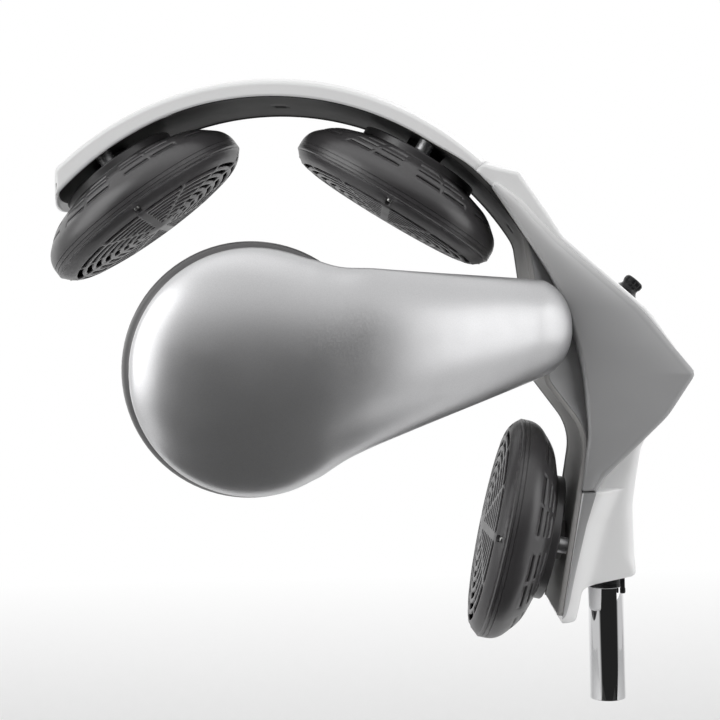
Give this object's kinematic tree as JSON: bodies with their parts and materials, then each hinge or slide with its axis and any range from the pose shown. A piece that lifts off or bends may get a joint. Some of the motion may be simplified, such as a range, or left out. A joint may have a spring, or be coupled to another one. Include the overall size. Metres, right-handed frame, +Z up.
{
  "type": "salon hair colour processor head",
  "caption": "Overhead salon processor head: arched band with round fan heater pods, two swinging side arms, a rear control panel and a swivel socket for a round mast.",
  "frame": {"origin": "on the mast axis at the lower end of the mast stub", "axes": "+Z up along the mast; +X to the back of the unit, away from the client; -Y to the client's left; XZ is the plane of symmetry"},
  "size_m": [0.5706, 0.5124, 0.5697],
  "materials": {
    "pod_plastic": "satin anthracite moulding",
    "grille_plastic": "satin anthracite moulding",
    "heater_coil": "resistance wire on mica",
    "bright_sheet": "bright rolled sheet",
    "motor_steel": "plated motor can",
    "fan_plastic": "black moulding",
    "screw_steel": "plated steel",
    "post_aluminium": "turned and anodised",
    "cheek_grey": "satin silver-grey lacquer",
    "arm_silver": "pearl silver lacquer",
    "liner_grey": "satin grey moulding",
    "frame_steel": "powder coated steel",
    "pin_steel": "ground steel",
    "pocket_grey": "satin grey moulding",
    "cover_white": "white gloss lacquer",
    "black_tube": "black coated tube",
    "black_plastic": "black moulding",
    "mast_chrome": "polished chrome plate",
    "bush_plastic": "natural acetal",
    "display_window": "smoked window",
    "board_green": "circuit board",
    "encoder_metal": "plated steel",
    "knob_black": "black gloss moulding"
  },
  "bodies": {
    "mast": {"mast_tube": "mast_chrome", "thrust_bush": "bush_plastic"},
    "head": {"front_pod_shell": "pod_plastic", "front_grille": "grille_plastic", "front_heater": "heater_coil", "front_reflector": "bright_sheet", "front_fan_motor": "motor_steel", "crown_pod_shell": "pod_plastic", "crown_grille": "grille_plastic", "crown_heater": "heater_coil", "crown_reflector": "bright_sheet", "crown_fan_motor": "motor_steel", "nape_pod_shell": "pod_plastic", "nape_grille": "grille_plastic", "nape_heater": "heater_coil", "nape_reflector": "bright_sheet", "nape_fan_motor": "motor_steel", "head_grille_screws": "screw_steel", "mounting_posts": "post_aluminium", "left_cheek": "cheek_grey", "right_cheek": "cheek_grey", "hinge_pockets": "pocket_grey", "arch_cover": "cover_white", "arch_liner": "liner_grey", "rear_cover": "cover_white", "neck_housing": "cover_white", "spine": "frame_steel", "swivel_spigot": "black_tube", "clamp_screw": "screw_steel", "lock_tab": "black_plastic", "display_lens": "display_window", "control_board": "board_green", "encoder": "encoder_metal"},
    "left_arm": {"left_arm_shell": "arm_silver", "left_arm_cover": "liner_grey", "left_arm_bracket": "frame_steel", "left_arm_pin": "pin_steel", "left_pod_shell": "pod_plastic", "left_grille": "grille_plastic", "left_heater": "heater_coil", "left_reflector": "bright_sheet", "left_fan_motor": "motor_steel", "left_grille_screws": "screw_steel"},
    "right_arm": {"right_arm_shell": "arm_silver", "right_arm_cover": "liner_grey", "right_arm_bracket": "frame_steel", "right_arm_pin": "pin_steel", "right_pod_shell": "pod_plastic", "right_grille": "grille_plastic", "right_heater": "heater_coil", "right_reflector": "bright_sheet", "right_fan_motor": "motor_steel", "right_grille_screws": "screw_steel"},
    "front_fan_wheel": {"front_fan": "fan_plastic"},
    "crown_fan_wheel": {"crown_fan": "fan_plastic"},
    "nape_fan_wheel": {"nape_fan": "fan_plastic"},
    "left_fan_wheel": {"left_fan": "fan_plastic"},
    "right_fan_wheel": {"right_fan": "fan_plastic"},
    "knob_plunger": {"knob_shaft": "encoder_metal"},
    "knob_dial": {"control_knob": "knob_black"}
  },
  "joints": [
    {"name": "head_swivel", "type": "hinge", "parent": "mast", "child": "head", "pos_m": [0, 0, 0.102], "axis": [0, 0, 1], "range_deg": [-165, 165]},
    {"name": "left_arm_swing", "type": "hinge", "parent": "head", "child": "left_arm", "pos_m": [-0.05, -0.068, 0.338], "axis": [0, 0, 1], "range_deg": [-12, 38]},
    {"name": "right_arm_swing", "type": "hinge", "parent": "head", "child": "right_arm", "pos_m": [-0.05, 0.068, 0.338], "axis": [0, 0, -1], "range_deg": [-12, 38]},
    {"name": "front_fan_spin", "type": "hinge", "parent": "head", "child": "front_fan_wheel", "pos_m": [-0.42196, 0, 0.47289], "axis": [-0.5807, 0, 0.8141], "continuous": true},
    {"name": "crown_fan_spin", "type": "hinge", "parent": "head", "child": "crown_fan_wheel", "pos_m": [-0.17292, 0, 0.47549], "axis": [0.5314, 0, 0.8471], "continuous": true},
    {"name": "nape_fan_spin", "type": "hinge", "parent": "head", "child": "nape_fan_wheel", "pos_m": [-0.07143, 0, 0.15248], "axis": [0.9732, 0, -0.23], "continuous": true},
    {"name": "left_fan_spin", "type": "hinge", "parent": "left_arm", "child": "left_fan_wheel", "pos_m": [-0.29588, -0.21396, 0.30914], "axis": [0.2074, -0.9758, -0.0698], "continuous": true},
    {"name": "right_fan_spin", "type": "hinge", "parent": "right_arm", "child": "right_fan_wheel", "pos_m": [-0.29588, 0.21396, 0.30914], "axis": [0.2074, 0.9758, -0.0698], "continuous": true},
    {"name": "knob_press", "type": "slide", "parent": "head", "child": "knob_plunger", "axis": [-0.6712, 0, -0.7413], "range_m": [0, 0.0012], "stiffness_N_per_m": 800, "springref_m": -0.001},
    {"name": "knob_turn", "type": "hinge", "parent": "knob_plunger", "child": "knob_dial", "pos_m": [0.022, 0, 0.36697], "axis": [0.6712, 0, 0.7413], "continuous": true}
  ]
}
